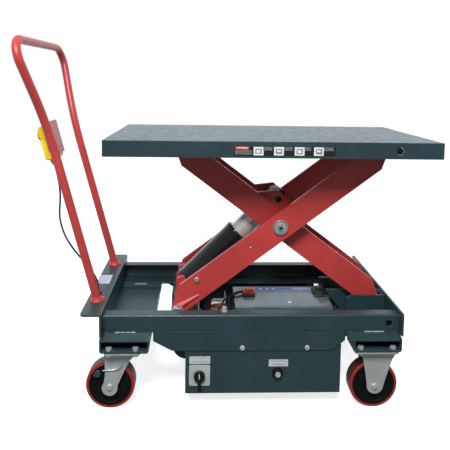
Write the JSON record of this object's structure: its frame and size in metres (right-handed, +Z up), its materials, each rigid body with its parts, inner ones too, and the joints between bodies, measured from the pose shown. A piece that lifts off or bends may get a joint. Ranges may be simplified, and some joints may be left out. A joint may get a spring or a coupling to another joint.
{
  "type": "scissor lift table",
  "caption": "Battery-electric mobile scissor lift table: sheet-steel table on crossed arms and a ram, on a wheeled chassis with a push handle and hand control.",
  "frame": {"origin": "floor level, midway along the whole length (handle to table front) and midway across", "axes": "+X from the push handle to the front, +Y to the left of someone pushing, +Z up"},
  "size_m": [1.28, 0.52, 1.1402],
  "materials": {
    "blue_grey_paint": "semi-gloss dark blue-grey paint",
    "red_paint": "gloss red paint",
    "zinc": "bright zinc plate",
    "steel": "machined steel",
    "chrome": "hard chrome, polished",
    "black_paint": "gloss black paint",
    "wheel_red": "red polyurethane tread on a black hub",
    "black_plastic": "moulded black plastic",
    "grey_plastic": "grey plastic",
    "battery_grey": "grey-blue polypropylene",
    "yellow_plastic": "yellow moulded plastic",
    "red_plastic": "red moulded plastic",
    "green_plastic": "green moulded plastic",
    "rubber": "black rubber",
    "aluminium": "cast or machined aluminium",
    "bronze": "bearing bronze"
  },
  "bodies": {
    "chassis": {"battery": "battery_grey", "battery_boots": "red_plastic", "battery_charger": "aluminium", "cable_grommet": "rubber", "caster_bolts": "zinc", "charge_socket": "black_plastic", "chassis_pivots": "blue_grey_paint", "contactor": "steel", "electrics_box": "blue_grey_paint", "fixed_forks": "zinc", "fixed_mounts": "blue_grey_paint", "floor_plates": "blue_grey_paint", "front_end_plate": "blue_grey_paint", "handle_end_plate": "blue_grey_paint", "main_switch_base": "grey_plastic", "oil_tank": "black_paint", "pendant_box": "yellow_plastic", "pendant_cable": "rubber", "pendant_gland": "grey_plastic", "power_pack_brackets": "blue_grey_paint", "pump_motor": "black_paint", "push_handle": "red_paint", "rail_fittings": "zinc", "side_rail_far": "blue_grey_paint", "side_rail_near": "blue_grey_paint", "swivel_mounts": "blue_grey_paint", "swivel_plates": "zinc", "valve_block": "aluminium"},
    "inner_scissor": {"inner_arm_near": "red_paint", "inner_arm_far": "red_paint", "inner_cross_tubes": "red_paint", "inner_arm_pins": "steel", "centre_bushes": "bronze"},
    "outer_scissor": {"outer_arm_near": "red_paint", "outer_arm_far": "red_paint", "lower_cross_tube": "red_paint", "lower_pins": "steel", "centre_pins": "steel"},
    "table": {"table_top": "blue_grey_paint", "table_pivots": "blue_grey_paint", "roller_guides": "blue_grey_paint"},
    "ram_barrel": {"ram_barrel": "black_paint", "ram_gland": "black_paint"},
    "ram_rod": {"ram_rod": "chrome"},
    "switch_knob": {"main_switch_knob": "black_plastic"},
    "up_button": {"pendant_up_button": "green_plastic"},
    "down_button": {"pendant_down_button": "black_plastic"},
    "stop_button": {"pendant_stop_button": "red_plastic"},
    "swivel_near": {"swivel_fork_near": "zinc"},
    "brake_near": {"brake_lever_near": "zinc"},
    "swivel_wheel_near": {"swivel_wheel_near": "wheel_red"},
    "fixed_wheel_near": {"fixed_wheel_near": "wheel_red"},
    "lower_roller_near": {"lower_roller_near": "steel"},
    "upper_roller_near": {"upper_roller_near": "steel"},
    "swivel_far": {"swivel_fork_far": "zinc"},
    "brake_far": {"brake_lever_far": "zinc"},
    "swivel_wheel_far": {"swivel_wheel_far": "wheel_red"},
    "fixed_wheel_far": {"fixed_wheel_far": "wheel_red"},
    "lower_roller_far": {"lower_roller_far": "steel"},
    "upper_roller_far": {"upper_roller_far": "steel"}
  },
  "joints": [
    {"name": "lift", "type": "hinge", "parent": "chassis", "child": "inner_scissor", "pos_m": [0.50602, 0, 0.271], "axis": [0, 1, 0], "range_deg": [-27.5, 10.6]},
    {"name": "scissor_centre", "type": "hinge", "parent": "inner_scissor", "child": "outer_scissor", "pos_m": [0.17702, 0, 0.5419], "axis": [0, 1, 0], "range_deg": [-21.4, 55.2]},
    {"name": "table_pivot", "type": "hinge", "parent": "outer_scissor", "child": "table", "pos_m": [0.50602, 0, 0.8128], "axis": [0, 1, 0], "range_deg": [-27.6, 10.7]},
    {"name": "ram_swing", "type": "hinge", "parent": "outer_scissor", "child": "ram_barrel", "pos_m": [-0.13198, 0, 0.309], "axis": [0, 1, 0], "range_deg": [-4.9, 1.95]},
    {"name": "ram_stroke", "type": "slide", "parent": "ram_barrel", "child": "ram_rod", "axis": [0.7039, 0, 0.7103], "range_m": [-0.063, 0.0245]},
    {"name": "swivel_near", "type": "hinge", "parent": "chassis", "child": "swivel_near", "pos_m": [-0.31298, -0.2015, 0.181], "axis": [0, 0, 1], "continuous": true},
    {"name": "swivel_wheel_spin_near", "type": "hinge", "parent": "swivel_near", "child": "swivel_wheel_near", "pos_m": [-0.35398, -0.2015, 0.075], "axis": [0, 1, 0], "continuous": true},
    {"name": "fixed_wheel_spin_near", "type": "hinge", "parent": "chassis", "child": "fixed_wheel_near", "pos_m": [0.46352, -0.2075, 0.075], "axis": [0, 1, 0], "continuous": true},
    {"name": "brake_near", "type": "hinge", "parent": "swivel_near", "child": "brake_near", "pos_m": [-0.35298, -0.2015, 0.1625], "axis": [0, 1, 0], "range_deg": [-8, 0]},
    {"name": "lower_roller_near", "type": "hinge", "parent": "outer_scissor", "child": "lower_roller_near", "pos_m": [-0.15198, -0.156, 0.271], "axis": [0, 1, 0], "continuous": true},
    {"name": "upper_roller_near", "type": "hinge", "parent": "inner_scissor", "child": "upper_roller_near", "pos_m": [-0.15198, -0.091, 0.8128], "axis": [0, 1, 0], "continuous": true},
    {"name": "swivel_far", "type": "hinge", "parent": "chassis", "child": "swivel_far", "pos_m": [-0.31298, 0.2015, 0.181], "axis": [0, 0, 1], "continuous": true},
    {"name": "swivel_wheel_spin_far", "type": "hinge", "parent": "swivel_far", "child": "swivel_wheel_far", "pos_m": [-0.35398, 0.2015, 0.075], "axis": [0, 1, 0], "continuous": true},
    {"name": "fixed_wheel_spin_far", "type": "hinge", "parent": "chassis", "child": "fixed_wheel_far", "pos_m": [0.46352, 0.2075, 0.075], "axis": [0, 1, 0], "continuous": true},
    {"name": "brake_far", "type": "hinge", "parent": "swivel_far", "child": "brake_far", "pos_m": [-0.35298, 0.2015, 0.1625], "axis": [0, 1, 0], "range_deg": [-8, 0]},
    {"name": "lower_roller_far", "type": "hinge", "parent": "outer_scissor", "child": "lower_roller_far", "pos_m": [-0.15198, 0.156, 0.271], "axis": [0, 1, 0], "continuous": true},
    {"name": "upper_roller_far", "type": "hinge", "parent": "inner_scissor", "child": "upper_roller_far", "pos_m": [-0.15198, 0.091, 0.8128], "axis": [0, 1, 0], "continuous": true},
    {"name": "switch_turn", "type": "hinge", "parent": "chassis", "child": "switch_knob", "pos_m": [-0.07998, -0.2265, 0.104], "axis": [0, 1, 0], "range_deg": [0, 90]},
    {"name": "press_up", "type": "slide", "parent": "chassis", "child": "up_button", "axis": [0.9649, 0, 0.2625], "range_m": [0, 0.002], "stiffness_N_per_m": 400, "springref_m": -0.001},
    {"name": "press_down", "type": "slide", "parent": "chassis", "child": "down_button", "axis": [0.9649, 0, 0.2625], "range_m": [0, 0.002], "stiffness_N_per_m": 400, "springref_m": -0.001},
    {"name": "press_stop", "type": "slide", "parent": "chassis", "child": "stop_button", "axis": [0.9649, 0, 0.2625], "range_m": [0, 0.002], "stiffness_N_per_m": 400, "springref_m": -0.001}
  ],
  "couplings": [
    {"joint": "scissor_centre", "follows": "lift", "ratio": -2},
    {"joint": "table_pivot", "follows": "lift", "ratio": 1},
    {"joint": "ram_swing", "follows": "lift", "ratio": 0.174},
    {"joint": "ram_stroke", "follows": "lift", "m_per_rad": 0.1296}
  ]
}
